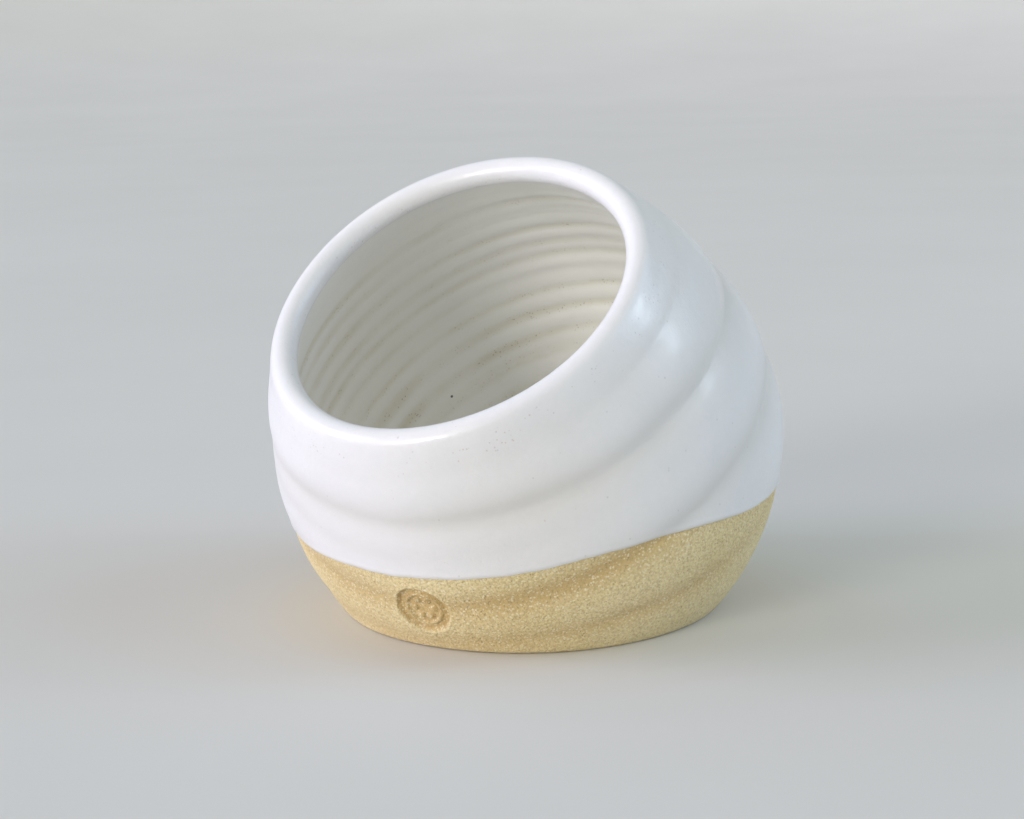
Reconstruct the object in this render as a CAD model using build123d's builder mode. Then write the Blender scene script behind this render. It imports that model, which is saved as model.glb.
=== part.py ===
"""Yarn bowl: a thrown stoneware near-sphere, set down leaning on a flat foot, with two glaze coats.

Millimetres. The origin is the centre of the foot on the table, +Z is up,
and the mouth leans towards the front, which is -Y.
"""

from math import atan2, cos, degrees, hypot, radians, sin
import os

from build123d import *

# ---- driving dimensions, mm and degrees ----

belly_r = 65.9  # outside of the bare clay, a sphere from the foot to the shoulder
belly_h = 43.2  # centre of that sphere above the table
lean = 37.8  # throwing axis off vertical, towards the front
shoulder_start = 12.1  # where the sphere hands over to the shoulder, above the belly
wall = 5.7  # clay wall, the same from the floor to the lip
lip_ring_r = 46.7  # circle along the middle of the rounded lip
lip_h = 51.2  # that circle above the belly, along the throwing axis

floor_t = 7.0  # clay under the flat inside floor
floor_round = 14.0  # soft corner between the inside floor and the wall
foot_round = 2.0  # worn edge round the flat foot

glaze_t = 0.5  # both glaze coats

# The dip line, where the outer glaze ends: distance to the right, height above the table
dip_line = [(-75, 23.0), (-35, 22.2), (0, 21.5), (27, 23.1), (50, 28.2), (62, 30.6), (75, 30.8)]

seal_r = 7.0  # potter's seal, a plain round stamp pressed into the bare clay
seal_depth = 1.1
seal_down = 28.5  # below the belly centre, degrees
seal_turn = 3.8  # to the right of the front, degrees
seal_relief = 0.7  # height of the figure inside the seal
seal_ring_r = 5.2
seal_ring_w = 1.0
seal_dot_r = 0.8
seal_dot_ring_r = 2.6
seal_dots = 6

# ---- the thrown form, worked out from the dimensions above ----

lip_r = wall / 2

# The shoulder is one arc, tangent to the belly sphere where it starts and to the lip where it ends
shoulder_dir = (cos(radians(shoulder_start)), sin(radians(shoulder_start)))
to_lip = lip_ring_r * shoulder_dir[0] + lip_h * shoulder_dir[1]
belly_gap = belly_r - lip_r
lip_reach = hypot(lip_ring_r, lip_h)
shoulder_shift = (belly_gap**2 - lip_reach**2) / (2 * (to_lip - belly_gap))
shoulder_r = belly_r + shoulder_shift
shoulder_c = (-shoulder_shift * shoulder_dir[0], -shoulder_shift * shoulder_dir[1])
shoulder_end = degrees(atan2(lip_h - shoulder_c[1], lip_ring_r - shoulder_c[0]))

belly_centre = Vector(0, 0, belly_h)
throw_dir = Vector(0, -sin(radians(lean)), cos(radians(lean)))
throw_axis = Axis(belly_centre, throw_dir)
# Sketch plane through the throwing axis: local x is the radius, local y runs up the axis
throw_plane = Plane(origin=belly_centre, x_dir=(1, 0, 0), z_dir=Vector(1, 0, 0).cross(throw_dir))


def polar(centre, radius, angle):
    """Point at an angle, in degrees, round a centre in the throwing plane."""
    return (centre[0] + radius * cos(radians(angle)), centre[1] + radius * sin(radians(angle)))


def wall_line(offset):
    """One line of the wall, from the pole up the belly and shoulder, moved out by offset."""
    CenterArc((0, 0), belly_r + offset, -90, 90 + shoulder_start)
    CenterArc(shoulder_c, shoulder_r + offset, shoulder_start, shoulder_end - shoulder_start)
    return polar(shoulder_c, shoulder_r + offset, shoulder_end)


def lip_line(offset):
    """The rounded lip, from the outside of the wall over to the inside."""
    CenterArc((lip_ring_r, lip_h), lip_r + offset, shoulder_end, 180)


# Where the two glaze coats meet: the inner end of the lip's rounding
coat_joint = polar((lip_ring_r, lip_h), lip_r, shoulder_end + 180)


def solid_form():
    """The outside of the clay as a full solid, with the lip, before it is hollowed."""
    with BuildPart() as form:
        with BuildSketch(throw_plane):
            with BuildLine():
                wall_line(0)
                lip_line(0)
                Line(coat_joint, (0, coat_joint[1]))
                Line((0, coat_joint[1]), (0, -belly_r))
            make_face()
        revolve(axis=throw_axis)
        split(bisect_by=Plane.XY, keep=Keep.TOP)
        fillet(form.faces().sort_by(Axis.Z)[0].edges(), foot_round)
    return form.part


def hollow(coat):
    """The space inside, in from the clay by the thickness of a coat, with its flat floor."""
    with BuildPart() as space:
        with BuildSketch(throw_plane):
            with BuildLine():
                top = wall_line(-wall - coat)
                if coat:
                    Line(top, coat_joint)
                Line(coat_joint, (0, coat_joint[1]))
                Line((0, coat_joint[1]), (0, -belly_r + wall + coat))
            make_face()
        revolve(axis=throw_axis)
        split(bisect_by=Plane.XY.offset(floor_t + coat), keep=Keep.TOP)
        fillet(space.faces().sort_by(Axis.Z)[0].edges(), floor_round - coat)
    return space.part


# ---- stoneware body ----

seal_dir = Vector(
    sin(radians(seal_turn)) * cos(radians(seal_down)),
    -cos(radians(seal_turn)) * cos(radians(seal_down)),
    -sin(radians(seal_down)),
)
seal_plane = Plane(origin=belly_centre + seal_dir * belly_r, x_dir=(1, 0, 0), z_dir=seal_dir)
seal_bed = seal_plane.offset(-seal_depth)

with BuildPart() as body:
    add(solid_form())
    add(hollow(0), mode=Mode.SUBTRACT)

    # The seal: a round bed with a raised ring and seed dots
    with BuildSketch(seal_bed):
        Circle(seal_r)
    extrude(amount=2 * seal_depth, mode=Mode.SUBTRACT)
    with BuildSketch(seal_bed):
        Circle(seal_ring_r)
        Circle(seal_ring_r - seal_ring_w, mode=Mode.SUBTRACT)
        with PolarLocations(seal_dot_ring_r, seal_dots):
            Circle(seal_dot_r)
    extrude(amount=seal_relief)

# ---- liner glaze, poured inside ----

with BuildPart() as liner:
    add(hollow(0))
    add(hollow(glaze_t), mode=Mode.SUBTRACT)

# ---- outer glaze, dipped over the lip and the outside ----

dip_reach = belly_r + 20

with BuildPart() as outer:
    with BuildSketch(throw_plane):
        with BuildLine():
            wall_line(0)
            lip_line(0)
            Line(coat_joint, polar((lip_ring_r, lip_h), lip_r + glaze_t, shoulder_end + 180))
            lip_line(glaze_t)
            wall_line(glaze_t)
            Line((0, -belly_r), (0, -belly_r - glaze_t))
        make_face()
    revolve(axis=throw_axis)

    # Everything below the dip line stays bare clay
    with BuildSketch(Plane.XZ):
        with BuildLine():
            Spline(*dip_line)
            Polyline(
                dip_line[-1],
                (dip_line[-1][0], -dip_reach),
                (dip_line[0][0], -dip_reach),
                dip_line[0],
            )
        make_face()
    extrude(amount=dip_reach, both=True, mode=Mode.SUBTRACT)

# ---- the three nodes ----

os.makedirs("parts", exist_ok=True)

body.part.label = "stoneware_body"
export_step(body.part, "parts/stoneware_body.step")

liner.part.label = "liner_glaze"
export_step(liner.part, "parts/liner_glaze.step")

outer.part.label = "outer_glaze"
export_step(outer.part, "parts/outer_glaze.step")
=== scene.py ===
import math

import bpy
import numpy as np
from mathutils import Matrix, Vector


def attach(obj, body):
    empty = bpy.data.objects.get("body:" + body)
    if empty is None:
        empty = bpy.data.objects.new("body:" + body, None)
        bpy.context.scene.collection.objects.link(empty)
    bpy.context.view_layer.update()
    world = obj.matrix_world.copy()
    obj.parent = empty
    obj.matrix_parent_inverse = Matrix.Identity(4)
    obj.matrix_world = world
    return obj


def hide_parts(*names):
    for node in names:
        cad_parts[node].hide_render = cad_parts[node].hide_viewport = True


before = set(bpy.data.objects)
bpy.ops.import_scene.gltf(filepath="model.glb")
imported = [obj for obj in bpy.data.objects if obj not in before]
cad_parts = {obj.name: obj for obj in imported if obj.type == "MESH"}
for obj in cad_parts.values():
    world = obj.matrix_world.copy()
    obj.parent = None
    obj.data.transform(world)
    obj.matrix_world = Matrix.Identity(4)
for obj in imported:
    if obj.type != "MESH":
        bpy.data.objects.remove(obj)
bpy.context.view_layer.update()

# ---------------------------------------------------------------- sizes, metres and degrees, as in the CAD

BELLY_R = 0.0659
BELLY_H = 0.0432
LEAN = math.radians(37.8)
SHOULDER_START = math.radians(12.1)
WALL = 0.0057
LIP_RING_R = 0.0467
LIP_H = 0.0512
FLOOR_T = 0.0070
FLOOR_ROUND = 0.0140
FOOT_ROUND = 0.0020
GLAZE = 0.0005

DIP_LINE = [(-75, 23.0), (-35, 22.2), (0, 21.5), (27, 23.1), (50, 28.2), (62, 30.6), (75, 30.8)]

SEAL_DOWN = math.radians(28.5)
SEAL_TURN = math.radians(3.8)
# The seal's own sizes, mm: bed, figure and the softness of the clay's edges
SEAL_R = 7.0
SEAL_DEPTH = 1.1
SEAL_RELIEF = 0.7
SEAL_RING_R = 5.2
SEAL_RING_W = 1.0
SEAL_DOT_R = 0.8
SEAL_DOT_RING_R = 2.6
SEAL_DOTS = 6
SEAL_SOFT = 0.22

LIP_R = WALL / 2
MM = 0.001
TUCK = 0.0001  # how far the clay that no one sees lies under the coats

# The shoulder arc, tangent to the belly sphere and to the lip
sd = np.array([math.cos(SHOULDER_START), math.sin(SHOULDER_START)])
lip_c = np.array([LIP_RING_R, LIP_H])
gap = BELLY_R - LIP_R
shift = (gap**2 - lip_c @ lip_c) / (2 * (lip_c @ sd - gap))
SHOULDER_R = BELLY_R + shift
shoulder_c = -shift * sd
SHOULDER_END = math.atan2(LIP_H - shoulder_c[1], LIP_RING_R - shoulder_c[0])

# Directions: n up the throwing axis, d0 to the low side of the mouth, dx to the right
CENTRE = np.array([0.0, 0.0, BELLY_H])
n_ax = np.array([0.0, -math.sin(LEAN), math.cos(LEAN)])
d0 = np.array([0.0, -math.cos(LEAN), -math.sin(LEAN)])
dx = np.array([1.0, 0.0, 0.0])


# ---------------------------------------------------------------- small numeric helpers

def smooth(a, b, x):
    t = np.clip((x - a) / (b - a), 0.0, 1.0)
    return t * t * (3 - 2 * t)


def curve_through(points, x):
    """A smooth curve through (x, y) points, read at x."""
    px, py = np.array(points, dtype=float).T
    slope = np.gradient(py, px)
    i = np.clip(np.searchsorted(px, x) - 1, 0, len(px) - 2)
    w = px[i + 1] - px[i]
    t = (x - px[i]) / w
    return (py[i] * (2 * t**3 - 3 * t**2 + 1) + py[i + 1] * (3 * t**2 - 2 * t**3)
            + w * (slope[i] * (t**3 - 2 * t**2 + t) + slope[i + 1] * (t**3 - t**2)))


LATTICE = 32


def lattice(seed):
    rng = np.random.default_rng(seed)
    return rng.random((LATTICE, LATTICE, LATTICE)) * 2 - 1


def noise3(p, scale, seed=1):
    """Smooth value noise, -1 to 1, at points p (N, 3) in metres; scale is the size of one wave."""
    table = lattice(seed)
    q = p / scale + 100.0
    i = np.floor(q).astype(int)
    f = q - i
    f = f * f * (3 - 2 * f)
    out = np.zeros(len(p))
    for a in (0, 1):
        for b in (0, 1):
            for c in (0, 1):
                w = (f[:, 0] if a else 1 - f[:, 0]) * (f[:, 1] if b else 1 - f[:, 1])
                w = w * (f[:, 2] if c else 1 - f[:, 2])
                out += w * table[(i[:, 0] + a) % LATTICE, (i[:, 1] + b) % LATTICE, (i[:, 2] + c) % LATTICE]
    return out


# ---------------------------------------------------------------- the thrown form

def wall_points(offset, count):
    """Profile of the wall from the pole to the lip, moved out by offset: radius, height, outward normal."""
    start = -math.pi / 2
    len1 = (BELLY_R + offset) * (SHOULDER_START - start)
    len2 = (SHOULDER_R + offset) * (SHOULDER_END - SHOULDER_START)
    s = np.linspace(0, len1 + len2, count)
    a1 = start + s / (BELLY_R + offset)
    a2 = SHOULDER_START + (s - len1) / (SHOULDER_R + offset)
    low = s <= len1
    ang = np.where(low, a1, a2)
    rad = np.where(low, BELLY_R + offset, SHOULDER_R + offset)
    cx = np.where(low, 0.0, shoulder_c[0])
    cy = np.where(low, 0.0, shoulder_c[1])
    nr, nh = np.cos(ang), np.sin(ang)
    return cx + rad * nr, cy + rad * nh, nr, nh


def to_world(r, h, theta):
    """Points at radius r and height h about the throwing axis, turned by theta from the low side."""
    ring = np.cos(theta)[..., None] * d0 + np.sin(theta)[..., None] * dx
    return CENTRE + h[..., None] * n_ax + r[..., None] * ring


# ---------------------------------------------------------------- camera

cam_data = bpy.data.cameras.new("camera")
cam = bpy.data.objects.new("camera", cam_data)
bpy.context.scene.collection.objects.link(cam)
bpy.context.scene.camera = cam
cam_data.sensor_width = 36.0
cam_data.lens = 66.8
cam.location = (0.25476, -0.41614, 0.14780)
aim = Vector((-0.00349, -0.00218, 0.05041))
look = (aim - cam.location).to_track_quat("-Z", "Y").to_matrix().to_4x4()
roll = math.radians(-1.75)
cam.matrix_world = Matrix.Translation(cam.location) @ look @ Matrix.Rotation(roll, 4, "Z")
cam_data.clip_start = 0.01
cam_data.clip_end = 20.0


# ---------------------------------------------------------------- relief left by the potter's fingers

def axis_coords(p):
    """Angle from the low side of the mouth, and height along the throwing axis, of points (N, 3)."""
    rel = p - CENTRE
    return np.arctan2(rel @ dx, rel @ d0), rel @ n_ax


def helix_distance(theta, h, start, pitch):
    """Distance in mm above the nearest turn of a groove that winds down the wall."""
    fall = h - start + pitch * theta / (2 * math.pi)
    return fall - np.round(fall / pitch) * pitch


# Deep grooves outside, pressed in by the fingers. Each runs round the bowl through points of
# (angle from the low side in degrees, height along the throwing axis in mm, depth in mm).
OUTER_GROOVES = [
    [(-180, 45.5, 0.25), (-60, 46.0, 0.25), (0, 46.4, 0.30), (45, 46.4, 0.35), (78, 45.0, 0.70),
     (110, 43.8, 0.65), (145, 44.0, 0.30), (180, 45.5, 0.25)],
    [(-180, 25.0, 0.35), (-110, 29.0, 0.55), (-55, 32.0, 0.75), (-20, 35.4, 1.20), (20, 34.2, 1.35),
     (60, 31.6, 1.40), (100, 28.2, 1.35), (120, 25.2, 1.30), (138, 20.8, 1.25), (158, 20.5, 0.70),
     (180, 25.0, 0.35)],
    [(-180, 15.0, 0.20), (-70, 24.5, 0.35), (-20, 26.6, 0.55), (20, 25.4, 0.32), (60, 23.5, 0.20),
     (110, 18.0, 0.10), (180, 15.0, 0.20)],
    [(-180, 4.0, 0.40), (-110, 8.0, 0.50), (-55, 11.5, 0.70), (-20, 13.0, 1.00), (15, 11.0, 1.20),
     (45, 9.8, 1.40), (70, 8.0, 1.40), (92, 5.8, 1.50), (110, 3.4, 1.60), (124, -0.6, 1.60),
     (145, -3.0, 0.80), (180, 4.0, 0.40)],
    [(-180, -13.0, 0.40), (-60, -5.0, 0.55), (0, -1.5, 0.70), (30, -3.5, 0.80), (46, -7.5, 0.90),
     (62, -13.0, 0.85), (80, -18.0, 0.65), (110, -22.0, 0.50), (180, -13.0, 0.40)],
]
# Cross-section of the grooves round the bowl: angle in degrees, roundness of the bottom and reach of the
# flanks in mm. On the right flank they are pinched into creases with full swellings between.
GROOVE_FORM = [(-180, 2.4, 3.0), (-55, 3.0, 2.6), (0, 2.2, 3.0), (55, 1.7, 3.4), (105, 0.8, 5.0),
               (140, 0.7, 5.2), (180, 2.4, 3.0)]

# Finger rings inside: start height at the low side, pitch, half width, depth, and the heights between
# which each is felt, all mm
INNER_RINGS = [
    (45.6, 15.0, 1.9, 0.24, 30.0, 46.0),
    (39.8, 15.0, 2.1, 0.26, 24.0, 42.0),
    (30.6, 15.0, 2.4, 0.25, 16.0, 34.0),
    (24.0, 15.0, 1.8, 0.24, 8.0, 28.0),
    (18.2, 15.0, 2.0, 0.34, 4.0, 22.0),
    (5.3, 15.0, 2.1, 0.36, -9.0, 8.0),
    (-2.2, 15.0, 2.3, 0.46, -16.0, 2.0),
    (-8.6, 15.0, 1.7, 0.24, -20.0, -6.0),
    (-13.5, 15.0, 2.4, 0.36, -30.0, -10.0),
    (-22.0, 13.0, 2.6, 0.34, -60.0, -17.0),
]


def finger_rings(p):
    """Relief of the liner's finger rings at points p, in metres: a groove with a soft swelling under it."""
    theta, h = axis_coords(p)
    h = h / MM
    wander = 0.70 * noise3(p, 0.045, 30) + 0.30 * noise3(p, 0.018, 31)
    swell = 0.80 + 0.30 * noise3(p, 0.030, 32)
    out = np.zeros(len(p))
    for start, pitch, width, depth, low, high in INNER_RINGS:
        fade = smooth(low - 2.0, low + 2.0, h) * (1 - smooth(high - 2.0, high + 2.0, h))
        above = helix_distance(theta, h + wander, start, pitch)
        groove = np.exp(-(above / width) ** 2)
        swelling = np.exp(-((above + 2.4 * width) / (1.7 * width)) ** 2)
        out += depth * fade * swell * (0.55 * swelling - groove)
    return out * MM


def finger_grooves(p):
    """Relief of the outside's deep grooves at points p, in metres: negative in the grooves."""
    theta, h = axis_coords(p)
    turn = np.degrees(theta)
    wander = 0.60 * noise3(p, 0.045, 20) + 0.30 * noise3(p, 0.018, 21)
    swell = 0.92 + 0.20 * noise3(p, 0.030, 22)
    soft = curve_through([(a, bottom) for a, bottom, flank in GROOVE_FORM], turn)
    reach = curve_through([(a, flank) for a, bottom, flank in GROOVE_FORM], turn)
    out = np.zeros(len(p))
    for course in OUTER_GROOVES:
        line = curve_through([(a, at) for a, at, deep in course], turn)
        depth = curve_through([(a, deep) for a, at, deep in course], turn)
        away = h / MM + wander - line
        out -= depth * swell * np.exp(-(np.hypot(away, soft) - soft) / reach)
    return out * MM


def outer_relief(p):
    """Finger grooves and a slight unevenness, measured outwards from the wall."""
    soft = 0.16 * noise3(p, 0.034, 11) + 0.04 * noise3(p, 0.009, 12)
    return finger_grooves(p) + soft * MM


def inner_relief(p):
    """Finger rings and a slight unevenness; outwards is into the wall, so a ring's groove is positive."""
    soft = 0.15 * noise3(p, 0.030, 14) + 0.04 * noise3(p, 0.008, 15)
    return -finger_rings(p) + soft * MM


# ---------------------------------------------------------------- meshes

def make_piece(name, verts, faces, stain_and_shade, node):
    """A mesh that rides on the bowl. A value from 0 to 1 at each point marks where iron or ochre gathers, and
    on the outside glaze and the clay also painted shade in the grooves and the seal's bed.
    """
    mesh = bpy.data.meshes.new(name)
    mesh.from_pydata([tuple(v) for v in verts], [], faces)
    mesh.shade_smooth()
    mesh.attributes.new("stain_and_shade", "FLOAT", "POINT").data.foreach_set("value", stain_and_shade.astype(np.float32))
    obj = bpy.data.objects.new(name, mesh)
    bpy.context.scene.collection.objects.link(obj)
    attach(obj, "root")
    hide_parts(node)
    return obj


def ring_faces(rows, cols, closed_rows=False):
    """Quads of a grid that closes round its columns, and round its rows too if closed_rows."""
    out = []
    last = rows if closed_rows else rows - 1
    for i in range(last):
        a, b = i * cols, ((i + 1) % rows) * cols
        for j in range(cols):
            k = (j + 1) % cols
            out.append((a + j, a + k, b + k, b + j))
    return out


def dip_height(x):
    """Height of the glaze line at distance x to the right: a smooth curve through the dip points."""
    return curve_through(DIP_LINE, x / MM) * MM


def glaze_line(p):
    """Height of the glaze edge near points p: the dip line, with the small wander of a real edge."""
    return dip_height(p[:, 0]) + (0.45 * noise3(p, 0.016, 41) + 0.16 * noise3(p, 0.004, 42)) * MM


# -- outer glaze: a thin coat from the glaze line over the lip

def outer_coat():
    cols, body_rows, lip_rows = 500, 140, 26
    hidden_lip_rows, hidden_rows = 6, 12
    theta = np.linspace(-math.pi, math.pi, cols, endpoint=False)
    # where each meridian crosses the glaze line, looking down from the lip
    r, h, nr, nh = wall_points(GLAZE, 900)
    start = np.zeros(cols)
    length = np.concatenate([[0], np.cumsum(np.hypot(np.diff(r), np.diff(h)))])
    for j, t in enumerate(theta):
        pts = to_world(r, h, np.full(len(r), t))
        above = pts[:, 2] - glaze_line(pts)
        k = np.nonzero(above < 0)[0].max()
        w = above[k] / (above[k] - above[k + 1])
        start[j] = length[k] + w * (length[k + 1] - length[k])
    total = length[-1]
    # distances from the glaze line of the rows that make its rounded edge
    edge = np.array([0.0, 0.05, 0.12, 0.22, 0.35, 0.5, 0.7, 0.95, 1.3, 1.8]) * MM
    around = np.cos(theta)[:, None] * d0 + np.sin(theta)[:, None] * dx

    def station(s, coat):
        """Points of one row, at length s along the wall profile of each meridian, coat above the clay."""
        out_r, out_h = np.interp(s, length, nr), np.interp(s, length, nh)
        rr = np.interp(s, length, r) - out_r * (GLAZE - coat)
        hh = np.interp(s, length, h) - out_h * (GLAZE - coat)
        base = to_world(rr, hh, theta)
        normal = out_r[:, None] * around + out_h[:, None] * n_ax
        fade = 1 - smooth(total - 4 * MM, total, s)
        return base + normal * (outer_relief(base) * fade)[:, None]

    rows = []
    for e in edge:
        f = min(e / (1.2 * MM), 1.0)
        round_up = math.sqrt(1 - (1 - f) ** 2)
        fat = 0.07 * MM * math.exp(-((e / MM - 1.1) / 0.9) ** 2) * f
        rows.append(station(start + e, GLAZE * round_up + fat))
    for i in range(1, body_rows + 1):
        s = start + edge[-1] + (total - start - edge[-1]) * i / body_rows
        rows.append(station(s, GLAZE))

    def lip_row(angle, radius):
        rr = np.full(cols, LIP_RING_R + radius * math.cos(angle))
        hh = np.full(cols, LIP_H + radius * math.sin(angle))
        return to_world(rr, hh, theta)

    # the last row but one is close to the last, so that the shading stays smooth up to the joint of the coats
    for i in [*range(1, lip_rows), lip_rows - 0.04, lip_rows]:
        a = SHOULDER_END + math.pi * i / lip_rows
        rows.append(lip_row(a, LIP_R + GLAZE))
    # the hidden side, on the clay
    for i in range(hidden_lip_rows, -1, -1):
        rows.append(lip_row(SHOULDER_END + math.pi * i / hidden_lip_rows, LIP_R))
    for i in range(hidden_rows - 1, 0, -1):
        rows.append(station(start + (total - start) * i / hidden_rows, 0.0))
    wobble(rows)
    return np.concatenate(rows), ring_faces(len(rows), cols, closed_rows=True)


def wobble(rows):
    """A hand-thrown lip is never quite flat: lift it a little in places, fading out down the wall."""
    for k, row in enumerate(rows):
        theta, h = axis_coords(row)
        grip = smooth(30 * MM, LIP_H, h)
        lift = 0.30 * np.sin(2 * theta + 0.7) + 0.16 * np.sin(3 * theta + 2.1)
        rows[k] = row + (grip * lift * MM)[:, None] * n_ax


# -- shells built round a pole that turns from straight down, at the foot, to the throwing axis

def radial(a, radius, drop, corner):
    """Distance from the belly centre, at angle a from straight down, to a sphere cut flat by a plane
    at depth drop, with a rounded corner."""
    zc = drop - corner
    rc = math.sqrt((radius - corner) ** 2 - zc**2)
    a_flat = math.atan2(rc, drop)
    a_ball = math.atan2(rc, zc)
    along = rc * np.sin(a) + zc * np.cos(a)
    root = np.sqrt(np.maximum(along**2 - (rc**2 + zc**2) + corner**2, 0))
    flat = drop / np.maximum(np.cos(a), 1e-6)
    return np.where(a < a_flat, flat, np.where(a < a_ball, along + root, radius))


# Angles from the pole between which it turns
TURN_FROM = math.radians(50)
TURN_TO = math.pi / 2 + SHOULDER_START


def shell_row(alpha, theta, radius, drop, corner, relief):
    """One row of the lower shell: alpha from the pole, with the pole part-way through its turn."""
    turn = LEAN * min(max((alpha - TURN_FROM) / (TURN_TO - TURN_FROM), 0), 1)
    pole = np.array([0, math.sin(turn), -math.cos(turn)])
    side = np.array([0, -math.cos(turn), -math.sin(turn)])
    d = (math.cos(alpha) * pole + math.sin(alpha)
         * (np.cos(theta)[:, None] * side + np.sin(theta)[:, None] * dx))
    down = np.arccos(np.clip(-d[:, 2], -1, 1))
    dist = radial(down, radius, drop, corner)
    base = CENTRE + d * dist[:, None]
    calm = smooth(0.9, 1.08, down / math.atan2(math.sqrt(radius**2 - drop**2), drop))
    return base + d * (relief(base) * calm)[:, None]


def upper_rows(theta, offset, shares, relief):
    """Rows of the shoulder, at the given shares of its length, from the end of the sphere up to the lip."""
    rows = []
    around = np.cos(theta)[:, None] * d0 + np.sin(theta)[:, None] * dx
    for share in shares:
        a = SHOULDER_START + (SHOULDER_END - SHOULDER_START) * share
        rr = shoulder_c[0] + (SHOULDER_R + offset) * math.cos(a)
        hh = shoulder_c[1] + (SHOULDER_R + offset) * math.sin(a)
        base = to_world(np.full(len(theta), rr), np.full(len(theta), hh), theta)
        normal = math.cos(a) * around + math.sin(a) * n_ax
        fade = 1 - smooth(0.75, 1.0, share)
        rows.append(base + normal * (relief(base) * fade)[:, None])
    return rows


def even(count):
    """Even shares of a length, from the first step to its end."""
    return np.linspace(0, 1, count + 1)[1:]


def hidden_alphas():
    """Angles of the rows on the sides that no one sees."""
    alphas = np.radians(np.concatenate([np.linspace(6, 50, 8), np.linspace(56, 102.1, 16)]))
    alphas[-1] = TURN_TO
    return alphas


def close_pole(verts, faces, first_row, cols, pole_point, flip):
    """Closes the grid's first row with a fan to one point."""
    k = len(verts)
    verts = np.concatenate([verts, [pole_point]])
    for j in range(cols):
        a, b = first_row + j, first_row + (j + 1) % cols
        faces.append((k, b, a) if flip else (k, a, b))
    return verts, faces


# -- liner glaze

def liner():
    cols = 400
    theta = np.linspace(-math.pi, math.pi, cols, endpoint=False)
    inner_r = BELLY_R - WALL - GLAZE
    drop = BELLY_H - FLOOR_T - GLAZE
    corner = FLOOR_ROUND - GLAZE
    alphas = np.radians(np.concatenate([
        np.linspace(4, 36, 14), np.linspace(38, 60, 18), np.linspace(61, 102.1, 80)]))
    alphas[-1] = TURN_TO
    rows = [shell_row(a, theta, inner_r, drop, corner, inner_relief) for a in alphas]
    rows += upper_rows(theta, -WALL - GLAZE, np.insert(even(50), 49, 0.9995), inner_relief)
    back = [shell_row(a, theta, BELLY_R - WALL, BELLY_H - FLOOR_T, FLOOR_ROUND, inner_relief)
            for a in hidden_alphas()]
    back += upper_rows(theta, -WALL, even(14), inner_relief)
    rows += back[::-1]
    wobble(rows)
    verts = np.concatenate(rows)
    faces = ring_faces(len(rows), cols)
    verts, faces = close_pole(verts, faces, 0, cols, [0, 0, FLOOR_T + GLAZE], True)
    verts, faces = close_pole(verts, faces, (len(rows) - 1) * cols, cols, [0, 0, FLOOR_T], False)
    # its rows run up the inside first, so the faces are turned round to look out of the glaze
    return verts, [face[::-1] for face in faces]


# -- clay body

def seal_mark(p):
    """Depth of the potter's seal at points p, metres, negative into the clay."""
    out = np.array([math.sin(SEAL_TURN) * math.cos(SEAL_DOWN), -math.cos(SEAL_TURN) * math.cos(SEAL_DOWN),
                    -math.sin(SEAL_DOWN)])
    side = np.array([math.cos(SEAL_TURN), math.sin(SEAL_TURN), 0])
    up = np.cross(out, side) * -1
    rel = p - CENTRE
    u, v, w = rel @ side, rel @ up, rel @ out
    d = np.hypot(u, v) / MM

    def inside(radius, away):
        return 1 - smooth(radius - SEAL_SOFT, radius + SEAL_SOFT, away)

    ring = (1 - inside(SEAL_RING_R - SEAL_RING_W, d)) * inside(SEAL_RING_R, d)
    dots = np.zeros(len(p))
    for k in range(SEAL_DOTS):
        a = 2 * math.pi * k / SEAL_DOTS
        away = np.hypot(u / MM - SEAL_DOT_RING_R * math.cos(a), v / MM - SEAL_DOT_RING_R * math.sin(a))
        dots = np.maximum(dots, inside(SEAL_DOT_R, away))
    # the clay pushed up round the bed
    rim = 0.10 * np.exp(-((d - SEAL_R - 0.6) / 0.6) ** 2)
    depth = -SEAL_DEPTH * inside(SEAL_R, d) + SEAL_RELIEF * np.maximum(ring, dots) + rim
    return np.where(w > 0, depth, 0) * MM


def clay_relief(p):
    grit = 0.055 * noise3(p, 0.0022, 51) + 0.035 * noise3(p, 0.0012, 52)
    return outer_relief(p) + grit * MM + seal_mark(p)


def clay():
    seal_half = math.radians(9)
    fine = SEAL_TURN + np.linspace(-seal_half, seal_half, 64)
    rest = np.linspace(SEAL_TURN + seal_half, SEAL_TURN - seal_half + 2 * math.pi, 312)[1:-1]
    theta = np.concatenate([fine, rest])
    cols = len(theta)
    alphas = np.radians(np.concatenate([
        np.linspace(5, 44, 12), np.linspace(46, 50, 14), np.linspace(50.25, 64, 56),
        np.linspace(64.8, 102.1, 48)]))
    alphas[-1] = TURN_TO
    rows = [shell_row(a, theta, BELLY_R, BELLY_H, FOOT_ROUND, clay_relief) for a in alphas]
    bare = np.linspace(0, 0.26, 38)[1:]
    rows += upper_rows(theta, 0.0, bare, clay_relief)
    # from here on the coats hide it
    rows += upper_rows(theta, -TUCK, np.linspace(0.30, 1, 15), outer_relief)
    lip_rows = 12
    for i in range(1, lip_rows):
        a = SHOULDER_END + math.pi * i / lip_rows
        rr = np.full(cols, LIP_RING_R + (LIP_R - TUCK) * math.cos(a))
        hh = np.full(cols, LIP_H + (LIP_R - TUCK) * math.sin(a))
        rows.append(to_world(rr, hh, theta))
    back = [shell_row(a, theta, BELLY_R - WALL + TUCK, BELLY_H - FLOOR_T + TUCK, FLOOR_ROUND, inner_relief)
            for a in hidden_alphas()]
    back += upper_rows(theta, -WALL + TUCK, even(14), inner_relief)
    rows += back[::-1]
    wobble(rows)
    verts = np.concatenate(rows)
    verts[:, 2] = np.maximum(verts[:, 2], 0)  # nothing below the table
    faces = ring_faces(len(rows), cols)
    verts, faces = close_pole(verts, faces, 0, cols, [0, 0, 0], True)
    verts, faces = close_pole(verts, faces, (len(rows) - 1) * cols, cols, [0, 0, FLOOR_T], False)
    return verts, faces


# ---------------------------------------------------------------- materials

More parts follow.
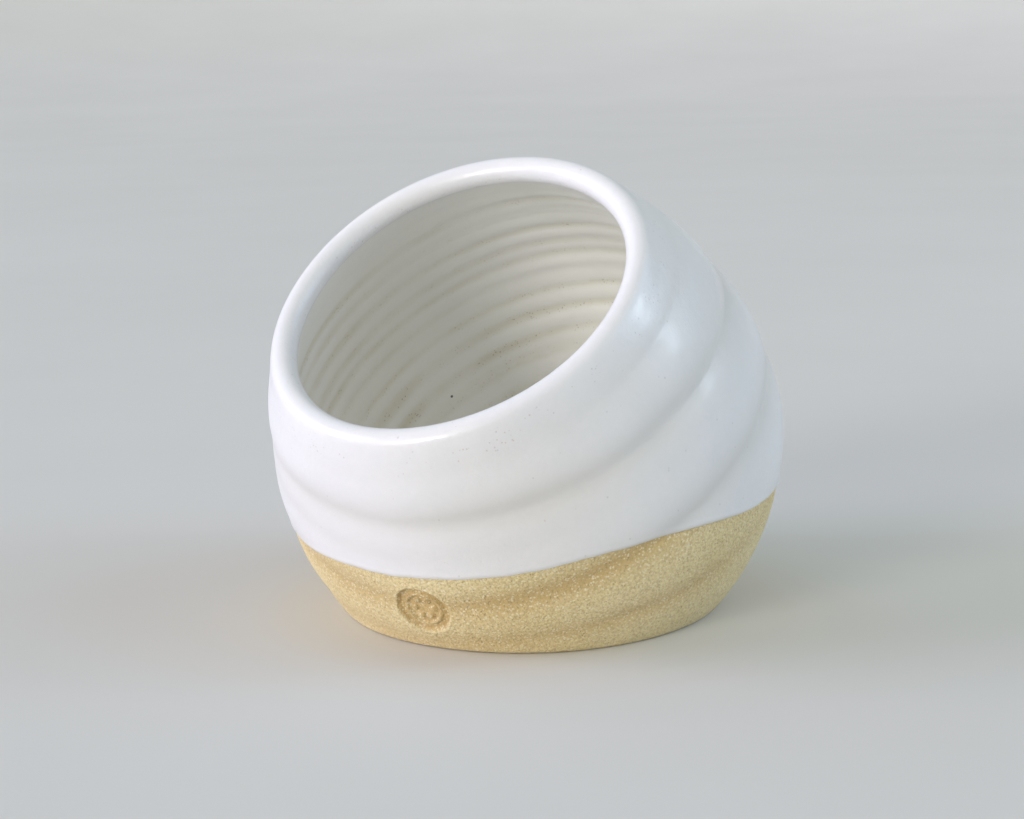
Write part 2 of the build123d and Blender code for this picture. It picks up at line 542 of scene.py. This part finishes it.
class Nodes:
    """Short calls for building one material's node tree."""

    def __init__(self, name):
        self.mat = bpy.data.materials.new(name)
        self.mat.use_nodes = True
        self.tree = self.mat.node_tree
        self.tree.nodes.clear()
        self.out = self.tree.nodes.new("ShaderNodeOutputMaterial")
        self.bsdf = self.tree.nodes.new("ShaderNodeBsdfPrincipled")
        self.tree.links.new(self.bsdf.outputs[0], self.out.inputs[0])
        self.coord = self.tree.nodes.new("ShaderNodeTexCoord").outputs["Object"]

    def put(self, value, socket):
        if isinstance(value, bpy.types.NodeSocket):
            self.tree.links.new(value, socket)
        else:
            socket.default_value = value

    def math(self, op, a, b, c=None):
        node = self.tree.nodes.new("ShaderNodeMath")
        node.operation = op
        self.put(a, node.inputs[0])
        self.put(b, node.inputs[1])
        if c is not None:
            self.put(c, node.inputs[2])
        return node.outputs[0]

    def noise(self, scale, detail=4.0, rough=0.5):
        """Soft noise, 0 to 1; scale is in waves per metre."""
        node = self.tree.nodes.new("ShaderNodeTexNoise")
        self.put(self.coord, node.inputs["Vector"])
        node.inputs["Scale"].default_value = scale
        node.inputs["Detail"].default_value = detail
        node.inputs["Roughness"].default_value = rough
        return node.outputs["Fac"]

    def cells(self, scale, vector=None):
        """Distance to the nearest of scattered points, in cells; scale is in cells per metre."""
        node = self.tree.nodes.new("ShaderNodeTexVoronoi")
        self.put(vector or self.coord, node.inputs["Vector"])
        node.inputs["Scale"].default_value = scale
        return node.outputs["Distance"]

    def ramp(self, fac, stops):
        node = self.tree.nodes.new("ShaderNodeValToRGB")
        self.put(fac, node.inputs[0])
        elements = node.color_ramp.elements
        while len(elements) < len(stops):
            elements.new(0.5)
        for e, (pos, colour) in zip(elements, stops):
            e.position = pos
            e.color = (*colour, 1)
        return node.outputs[0]

    def range(self, value, low, high, to_low=0.0, to_high=1.0):
        """Smooth step of value between low and high, from to_low to to_high."""
        node = self.tree.nodes.new("ShaderNodeMapRange")
        node.interpolation_type = "SMOOTHSTEP"
        self.put(value, node.inputs[0])
        for i, v in enumerate((low, high, to_low, to_high)):
            node.inputs[i + 1].default_value = v
        return node.outputs[0]

    def mix(self, fac, a, b):
        node = self.tree.nodes.new("ShaderNodeMix")
        node.data_type = "RGBA"
        self.put(fac, node.inputs[0])
        self.put(a if isinstance(a, bpy.types.NodeSocket) else (*a, 1), node.inputs[6])
        self.put(b if isinstance(b, bpy.types.NodeSocket) else (*b, 1), node.inputs[7])
        return node.outputs[2]

    def dot(self, direction, origin):
        """Distance of the surface point from origin, measured along a direction, metres."""
        shift = self.tree.nodes.new("ShaderNodeVectorMath")
        shift.operation = "SUBTRACT"
        self.put(self.coord, shift.inputs[0])
        shift.inputs[1].default_value = tuple(origin)
        node = self.tree.nodes.new("ShaderNodeVectorMath")
        node.operation = "DOT_PRODUCT"
        self.tree.links.new(shift.outputs[0], node.inputs[0])
        node.inputs[1].default_value = tuple(direction)
        return node.outputs["Value"]

    def stain_and_shade(self):
        """Where iron or ochre gathers, and painted shade in the grooves and the seal's bed, 0 to 1, as the
        mesh carries it.
        """
        node = self.tree.nodes.new("ShaderNodeAttribute")
        node.attribute_name = "stain_and_shade"
        return node.outputs["Fac"]

    def shifted(self, amount):
        """The coordinates moved along, so that two patterns don't coincide."""
        node = self.tree.nodes.new("ShaderNodeVectorMath")
        node.operation = "ADD"
        self.put(self.coord, node.inputs[0])
        node.inputs[1].default_value = (amount,) * 3
        return node.outputs[0]

    def bump(self, height, strength, distance, normal=None):
        node = self.tree.nodes.new("ShaderNodeBump")
        self.put(height, node.inputs["Height"])
        node.inputs["Strength"].default_value = strength
        node.inputs["Distance"].default_value = distance
        if normal is not None:
            self.put(normal, node.inputs["Normal"])
        return node.outputs[0]


def outer_glaze_material():
    m = Nodes("satin_white_glaze")
    cloud = m.noise(26.0, 5.0, 0.55)
    base = m.ramp(cloud, [(0.25, (0.79, 0.79, 0.81)), (0.5, (0.825, 0.825, 0.835)),
                          (0.8, (0.85, 0.84, 0.835))])
    pool = m.noise(90.0, 3.0, 0.6)
    base = m.mix(m.range(pool, 0.35, 0.75, 0.0, 0.22), base, (0.76, 0.77, 0.79))
    # the grooves are a little darker and warmer, partly the glaze's own tint and partly painted shade; the
    # thin edge of the glaze is darker and warmer too
    base = m.mix(m.math("MULTIPLY", m.stain_and_shade(), 0.60), base, (0.64, 0.62, 0.575))
    # a fine mottle, as the satin surface breaks up the light
    base = m.mix(m.range(m.noise(520.0, 3.0, 0.6), 0.35, 0.70, 0.0, 0.12), base, (0.70, 0.71, 0.72))
    # sparse grey and brown specks
    speck_field = m.cells(620.0)
    speck_pick = m.noise(420.0, 2.0, 0.5)
    speck = m.math("MULTIPLY", m.range(speck_field, 0.10, 0.22, 1.0, 0.0),
                   m.range(speck_pick, 0.60, 0.68))
    base = m.mix(m.math("MULTIPLY", speck, 0.28), base, (0.40, 0.37, 0.36))
    # pinkish brown specks round the outside of the lip
    height = m.dot(n_ax, CENTRE)
    lip_band = m.math("MULTIPLY", m.range(height, 0.0455, 0.0490),
                      m.range(height, 0.0515, 0.0535, 1.0, 0.0))
    lip_speck = m.math("MULTIPLY", m.range(m.cells(900.0), 0.10, 0.26, 1.0, 0.0),
                       m.range(m.noise(240.0, 2.0), 0.52, 0.60))
    base = m.mix(m.math("MULTIPLY", m.math("MULTIPLY", lip_speck, lip_band), 0.4), base, (0.50, 0.36, 0.30))
    m.put(base, m.bsdf.inputs["Base Color"])
    rough = m.range(m.noise(55.0, 4.0, 0.6), 0.3, 0.7, 0.40, 0.52)
    # the lip is glossier
    shine = m.range(height, 0.047, 0.052, 0.0, 0.12)
    m.put(m.math("SUBTRACT", rough, shine), m.bsdf.inputs["Roughness"])
    m.bsdf.inputs["Coat Weight"].default_value = 0.25
    m.bsdf.inputs["Coat Roughness"].default_value = 0.18
    m.bsdf.inputs["IOR"].default_value = 1.52
    m.bsdf.inputs["Subsurface Weight"].default_value = 0.10
    m.bsdf.inputs["Subsurface Radius"].default_value = (1.0, 0.9, 0.8)
    m.bsdf.inputs["Subsurface Scale"].default_value = 0.0015
    fine = m.bump(m.noise(1100.0, 3.0, 0.55), 0.40, 0.00014)
    peel = m.bump(m.noise(330.0, 3.0, 0.55), 0.50, 0.00026, fine)
    m.put(peel, m.bsdf.inputs["Normal"])
    return m.mat


def liner_material():
    m = Nodes("satin_cream_liner_glaze")
    cloud = m.noise(24.0, 5.0, 0.55)
    base = m.ramp(cloud, [(0.25, (0.865, 0.87, 0.82)), (0.5, (0.89, 0.89, 0.85)), (0.8, (0.91, 0.905, 0.87))])
    # iron gathers in the grooves as a thin yellow-brown wash broken into specks
    patch = m.range(m.noise(38.0, 4.0, 0.6), 0.38, 0.62)
    stain_and_shade = m.math("MULTIPLY", m.stain_and_shade(), m.math("MULTIPLY_ADD", patch, 0.65, 0.30))
    base = m.mix(m.math("MULTIPLY", stain_and_shade, 0.60), base, (0.60, 0.555, 0.37))
    dots = m.range(m.cells(1100.0), 0.12, 0.34, 1.0, 0.0)
    dots = m.math("MULTIPLY", dots, m.range(m.noise(300.0, 2.0, 0.6), 0.46, 0.60))
    dots = m.math("MULTIPLY", dots, m.math("MULTIPLY_ADD", stain_and_shade, 0.9, 0.05))
    base = m.mix(dots, base, (0.33, 0.24, 0.12))
    # one larger iron spot, burnt through near the bottom
    angle, height = math.radians(239), -0.0216
    reach = math.sqrt((BELLY_R - WALL - GLAZE) ** 2 - height**2)
    spot = to_world(np.array([reach]), np.array([height]), np.array([angle]))[0]
    away = m.tree.nodes.new("ShaderNodeVectorMath")
    away.operation = "DISTANCE"
    m.put(m.coord, away.inputs[0])
    away.inputs[1].default_value = tuple(spot)
    base = m.mix(m.range(away.outputs["Value"], 0.0003, 0.0005, 0.95, 0.0), base, (0.05, 0.04, 0.03))
    m.put(base, m.bsdf.inputs["Base Color"])
    m.put(m.range(m.noise(60.0, 4.0, 0.6), 0.3, 0.7, 0.36, 0.50), m.bsdf.inputs["Roughness"])
    m.bsdf.inputs["IOR"].default_value = 1.5
    m.bsdf.inputs["Coat Weight"].default_value = 0.15
    m.bsdf.inputs["Coat Roughness"].default_value = 0.30
    fine = m.bump(m.noise(800.0, 3.0, 0.55), 0.20, 0.00012)
    peel = m.bump(m.noise(240.0, 3.0, 0.5), 0.30, 0.00025, fine)
    m.put(peel, m.bsdf.inputs["Normal"])
    return m.mat


def clay_material():
    m = Nodes("bare_sandy_stoneware")
    cloud = m.noise(30.0, 5.0, 0.6)
    base = m.ramp(cloud, [(0.25, (0.80, 0.65, 0.335)), (0.5, (0.88, 0.74, 0.41)), (0.8, (0.93, 0.81, 0.50))])
    # the throwing grooves are darker and more ochre, partly the clay's own ochre and partly painted shade;
    # the seal's bed is darkened the same way, as painted shade
    base = m.mix(m.math("MULTIPLY", m.stain_and_shade(), 0.75), base, (0.60, 0.40, 0.15))
    # sand: a fine mottle, pale grains and a few dark ones
    base = m.mix(m.range(m.noise(1500.0, 3.0, 0.6), 0.35, 0.70, 0.0, 0.65), base, (0.56, 0.41, 0.19))
    light = m.range(m.cells(1350.0), 0.20, 0.50, 1.0, 0.0)
    light = m.math("MULTIPLY", light, m.range(m.noise(900.0, 2.0), 0.38, 0.56))
    base = m.mix(m.math("MULTIPLY", light, 0.75), base, (0.95, 0.86, 0.62))
    dark = m.range(m.cells(1250.0, vector=m.shifted(0.13)), 0.12, 0.32, 1.0, 0.0)
    dark = m.math("MULTIPLY", dark, m.range(m.noise(620.0, 2.0), 0.52, 0.60))
    base = m.mix(m.math("MULTIPLY", dark, 0.55), base, (0.33, 0.19, 0.07))
    m.put(base, m.bsdf.inputs["Base Color"])
    m.put(m.range(cloud, 0.3, 0.7, 0.78, 0.92), m.bsdf.inputs["Roughness"])
    m.bsdf.inputs["Specular IOR Level"].default_value = 0.3
    m.bsdf.inputs["Sheen Weight"].default_value = 0.12
    m.bsdf.inputs["Sheen Roughness"].default_value = 0.40
    grain = m.bump(m.noise(1300.0, 4.0, 0.65), 1.0, 0.00060)
    pits = m.bump(m.range(m.cells(900.0, vector=m.shifted(0.41)), 0.08, 0.40), 0.6, 0.00030, grain)
    m.put(pits, m.bsdf.inputs["Normal"])
    return m.mat


verts, faces = outer_coat()
# the outer glaze darkens at its thin edge just above the glaze line, and in the finger grooves, where the
# darkening is partly painted shade
thin = np.exp(-np.maximum(verts[:, 2] - glaze_line(verts), 0) / (0.45 * MM))
stain_and_shade = np.clip(-finger_grooves(verts) / (1.2 * MM) + thin, 0, 1)
outer = make_piece("outer_glaze_coat", verts, faces, stain_and_shade, "outer_glaze")
outer.data.materials.append(outer_glaze_material())

verts, faces = liner()
# in the liner this marks only iron gathered in the finger rings
stain_and_shade = np.clip(-finger_rings(verts) / (0.40 * MM), 0, 1)
inner = make_piece("liner_glaze_coat", verts, faces, stain_and_shade, "liner_glaze")
inner.data.materials.append(liner_material())

verts, faces = clay()
# the clay darkens to ochre in the finger grooves, partly its own ochre and partly painted shade, and in the
# seal's bed, as painted shade
stain_and_shade = np.clip(-finger_grooves(verts) / (1.0 * MM) - 0.2 + seal_mark(verts) / (-0.75 * MM), 0, 1)
pot = make_piece("stoneware_pot", verts, faces, stain_and_shade, "stoneware_body")
pot.data.materials.append(clay_material())


# ---------------------------------------------------------------- floor and light

def floor_material():
    m = Nodes("pale_floor")
    tone = m.ramp(m.noise(3.0, 4.0, 0.6), [(0.3, (0.66, 0.65, 0.615)), (0.7, (0.69, 0.68, 0.645))])
    m.put(tone, m.bsdf.inputs["Base Color"])
    m.bsdf.inputs["Roughness"].default_value = 0.85
    return m.mat


def floor_piece():
    """A flat floor that sweeps up far behind, so no horizon shows."""
    flat, sweep, rise, steps, turns = 2.5, 2.0, 0.45, 16, 96
    profile = [(flat, 0.0)]
    for i in range(1, steps + 1):
        a = 0.5 * math.pi * i / steps
        profile.append((flat + sweep * math.sin(a), rise * (1 - math.cos(a))))
    verts = [(0, 0, 0)]
    for radius, z in profile:
        verts += [(radius * math.cos(2 * math.pi * j / turns), radius * math.sin(2 * math.pi * j / turns), z)
                  for j in range(turns)]
    faces = [(0, 1 + j, 1 + (j + 1) % turns) for j in range(turns)]
    for i in range(len(profile) - 1):
        p, q = 1 + i * turns, 1 + (i + 1) * turns
        faces += [(p + j, q + j, q + (j + 1) % turns, p + (j + 1) % turns) for j in range(turns)]
    mesh = bpy.data.meshes.new("floor")
    mesh.from_pydata(verts, [], faces)
    mesh.shade_smooth()
    obj = bpy.data.objects.new("floor", mesh)
    obj.data.materials.append(floor_material())
    bpy.context.scene.collection.objects.link(obj)


floor_piece()


def place_light(name, kind, place, colour):
    """A light at place that points at the middle of the bowl."""
    data = bpy.data.lights.new(name, kind)
    data.color = colour
    obj = bpy.data.objects.new(name, data)
    bpy.context.scene.collection.objects.link(obj)
    obj.location = place
    obj.rotation_euler = (Vector((0, 0, 0.055)) - Vector(place)).to_track_quat("-Z", "Y").to_euler()
    return data


def soft_sun(name, place, colour, energy, angle):
    light = place_light(name, "SUN", place, colour)
    light.energy = energy
    light.angle = math.radians(angle)


soft_sun("key_left", (-1.58, -0.99, 0.72), (0.72, 0.70, 1.0), 1.75, 34)
soft_sun("front_low", (-0.41, -1.93, 0.35), (1.0, 0.945, 0.90), 2.30, 26)
soft_sun("fill_left", (-1.61, 0.28, 1.15), (0.55, 0.78, 1.0), 0.30, 50)
soft_sun("fill_right", (1.44, 0.7, 1.2), (0.50, 0.70, 1.0), 0.88, 50)

# A small window behind on the right, for the soft shine on the shoulder
side = place_light("window_side", "AREA", (1.20, 0.66, 0.62), (0.72, 0.86, 1.0))
side.shape = "RECTANGLE"
side.size, side.size_y = 0.20, 0.30
side.energy = 2.2

# A soft even light from all round
world = bpy.data.worlds.new("world")
world.use_nodes = True
world.node_tree.nodes["Background"].inputs[0].default_value = (1.0, 1.0, 0.88, 1)
world.node_tree.nodes["Background"].inputs[1].default_value = 0.43
bpy.context.scene.world = world
bpy.context.scene.view_settings.view_transform = "Standard"
